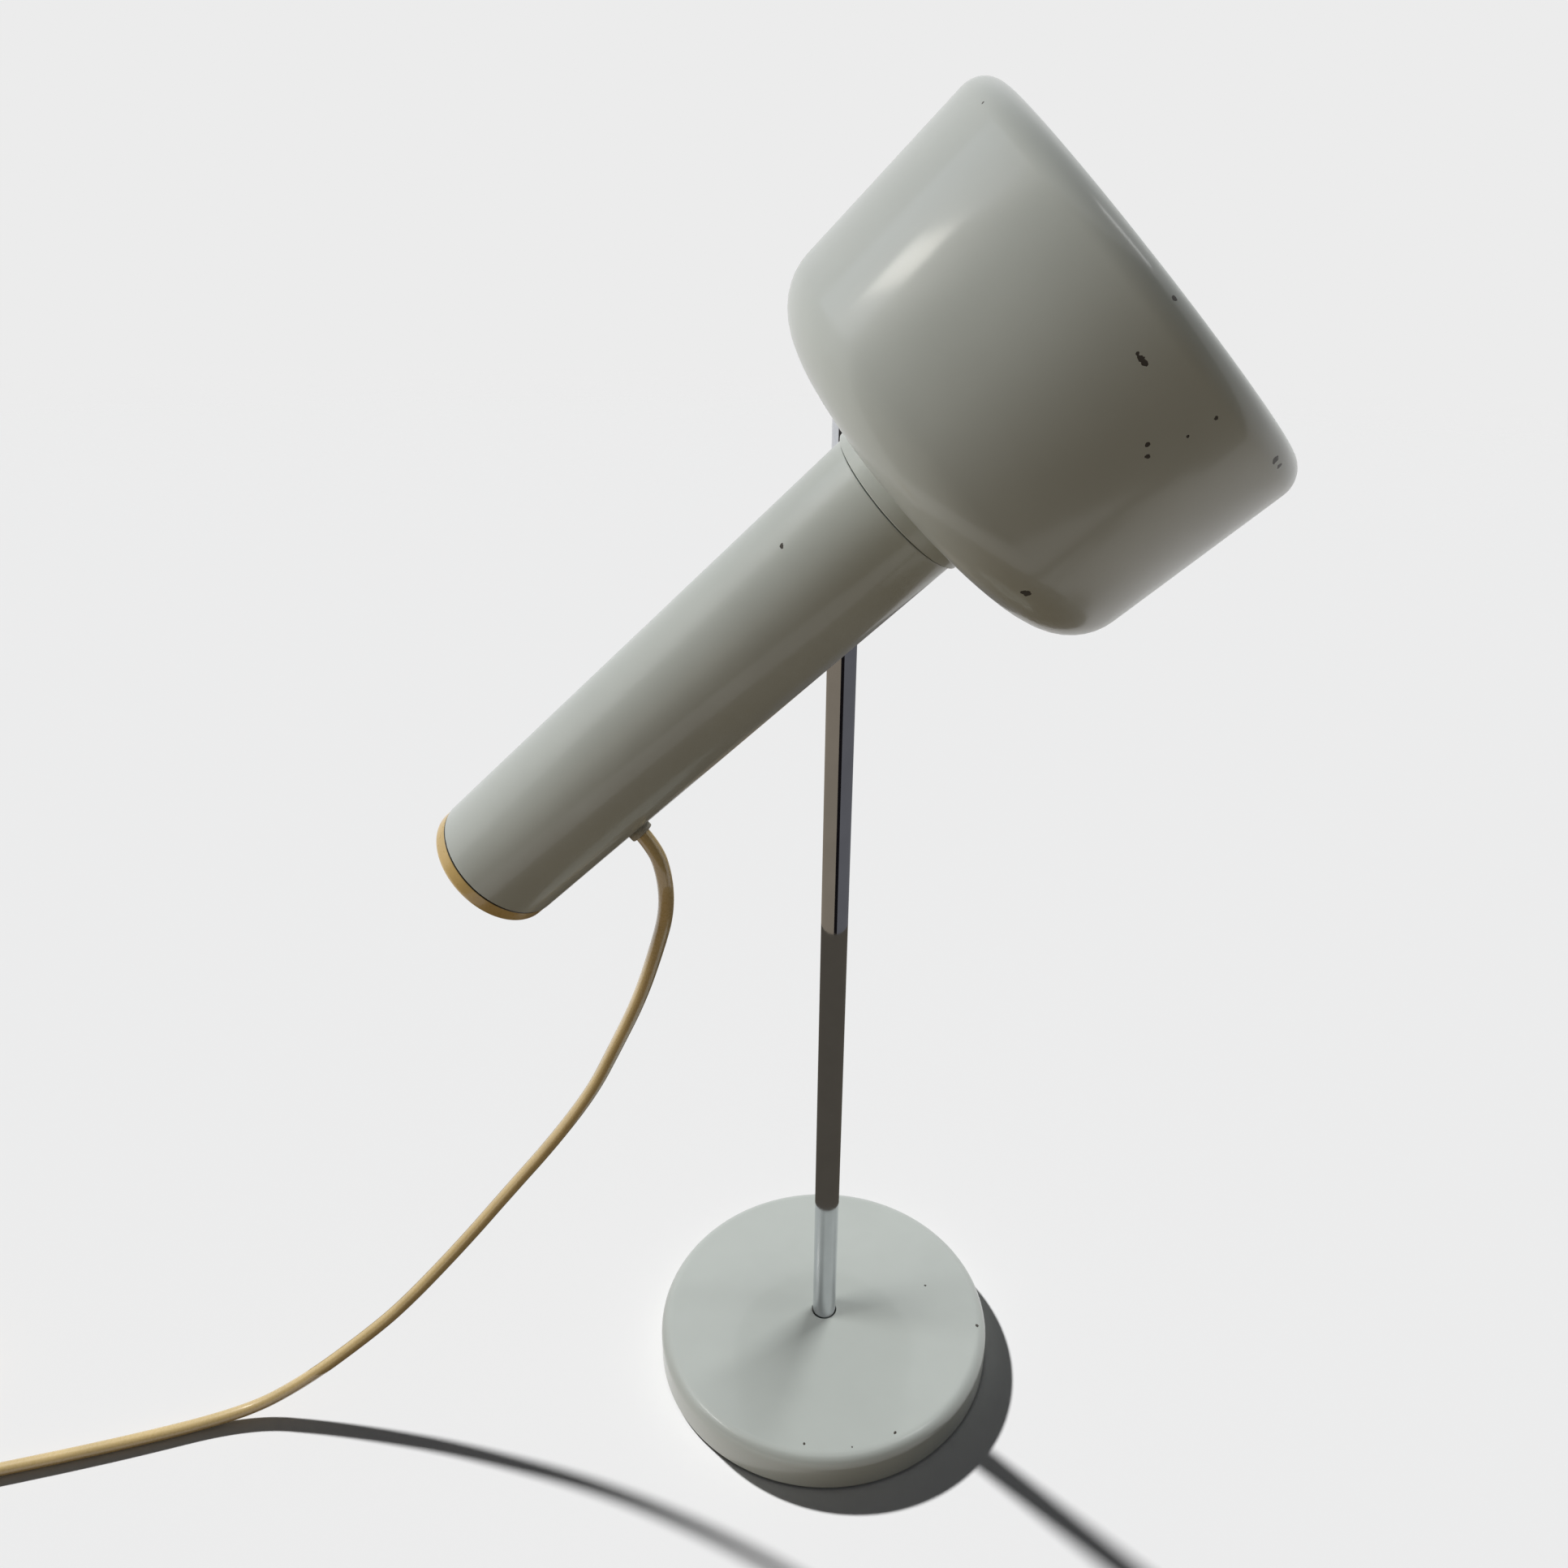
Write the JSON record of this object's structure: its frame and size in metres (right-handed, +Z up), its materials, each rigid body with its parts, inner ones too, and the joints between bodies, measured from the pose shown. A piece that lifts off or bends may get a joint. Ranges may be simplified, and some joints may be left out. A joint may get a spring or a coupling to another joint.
{
  "type": "tabletop spotlight lamp",
  "caption": "Tabletop spotlight lamp: weighted round foot, chromed stem, torch-like tube head with drum shade and push-button rear cap, round cord with plug.",
  "frame": {"origin": "centre of the foot's underside, on the table, on the stem's axis", "axes": "+Z up along the stem; +X the way the lit head points, seen from above; the head hangs on the stem's -Y side"},
  "size_m": [0.5956, 0.2332, 0.4743],
  "materials": {
    "grey_enamel": "semi-gloss stove enamel",
    "cast_iron": "as cast",
    "felt": "needled felt",
    "brass": "turned",
    "chrome": "polished",
    "nylon": "moulded",
    "zinc_steel": "zinc plated",
    "red_fibre": "vulcanised fibre",
    "turned_aluminium": "turned",
    "black_phenolic": "moulded",
    "ceramic": "unglazed steatite",
    "opal_glass": "opal",
    "ivory_plastic": "moulded, yellowed with age",
    "grey_plastic": "moulded",
    "brown_wire": "extruded",
    "blue_wire": "extruded",
    "cream_cord": "extruded PVC",
    "plug_ivory": "moulded",
    "nickel": "nickel plated"
  },
  "bodies": {
    "base": {"base_shell": "grey_enamel", "base_weight": "cast_iron", "base_felt": "felt", "stem_bush": "brass"},
    "stem": {"stem": "chrome", "thrust_washer": "nylon", "foot_spring": "zinc_steel", "foot_washer": "zinc_steel", "foot_nut": "zinc_steel", "cord_lead": "cream_cord", "cord_coil": "cream_cord", "cord_tail": "cream_cord", "plug_body": "plug_ivory", "plug_pins": "nickel"},
    "slider": {"knuckle": "chrome", "slide_bushes": "nylon", "friction_pad": "nylon", "tension_screw": "zinc_steel", "pivot_stud": "zinc_steel", "fibre_washer": "red_fibre", "pivot_spring": "zinc_steel", "pivot_nut": "zinc_steel"},
    "head": {"outer_saddle": "grey_enamel", "inner_saddle": "turned_aluminium", "torch_tube": "grey_enamel", "spigot": "turned_aluminium", "shade": "grey_enamel", "lampholder_nut": "brass", "lampholder_cap": "black_phenolic", "lampholder_core": "ceramic", "lampholder_skirt": "black_phenolic", "screw_shell": "brass", "bulb_cap": "nickel", "bulb_glass": "opal_glass", "rear_cap": "ivory_plastic", "switch_body": "black_phenolic", "switch_nut": "nickel", "cord_gland": "grey_plastic", "gland_nut": "grey_plastic", "live_wire": "brown_wire", "switch_wire": "brown_wire", "neutral_wire": "blue_wire", "cord_drop": "cream_cord"},
    "button": {"switch_button": "black_phenolic"}
  },
  "joints": [
    {"name": "stem_swivel", "type": "hinge", "parent": "base", "child": "stem", "pos_m": [0, 0, 0.012], "axis": [0, 0, 1], "continuous": true},
    {"name": "height_slide", "type": "slide", "parent": "stem", "child": "slider", "axis": [0, 0, 1], "range_m": [-0.18, 0.025], "deforming": ["cord_lead", "cord_drop"]},
    {"name": "head_tilt", "type": "hinge", "parent": "slider", "child": "head", "pos_m": [0, -0.065, 0.357], "axis": [0, -1, 0], "range_deg": [-130, 45], "deforming": ["cord_drop"]},
    {"name": "button_press", "type": "slide", "parent": "head", "child": "button", "axis": [0.7169, 0, 0.6972], "range_m": [0, 0.003], "stiffness_N_per_m": 600, "springref_m": -0.002}
  ]
}
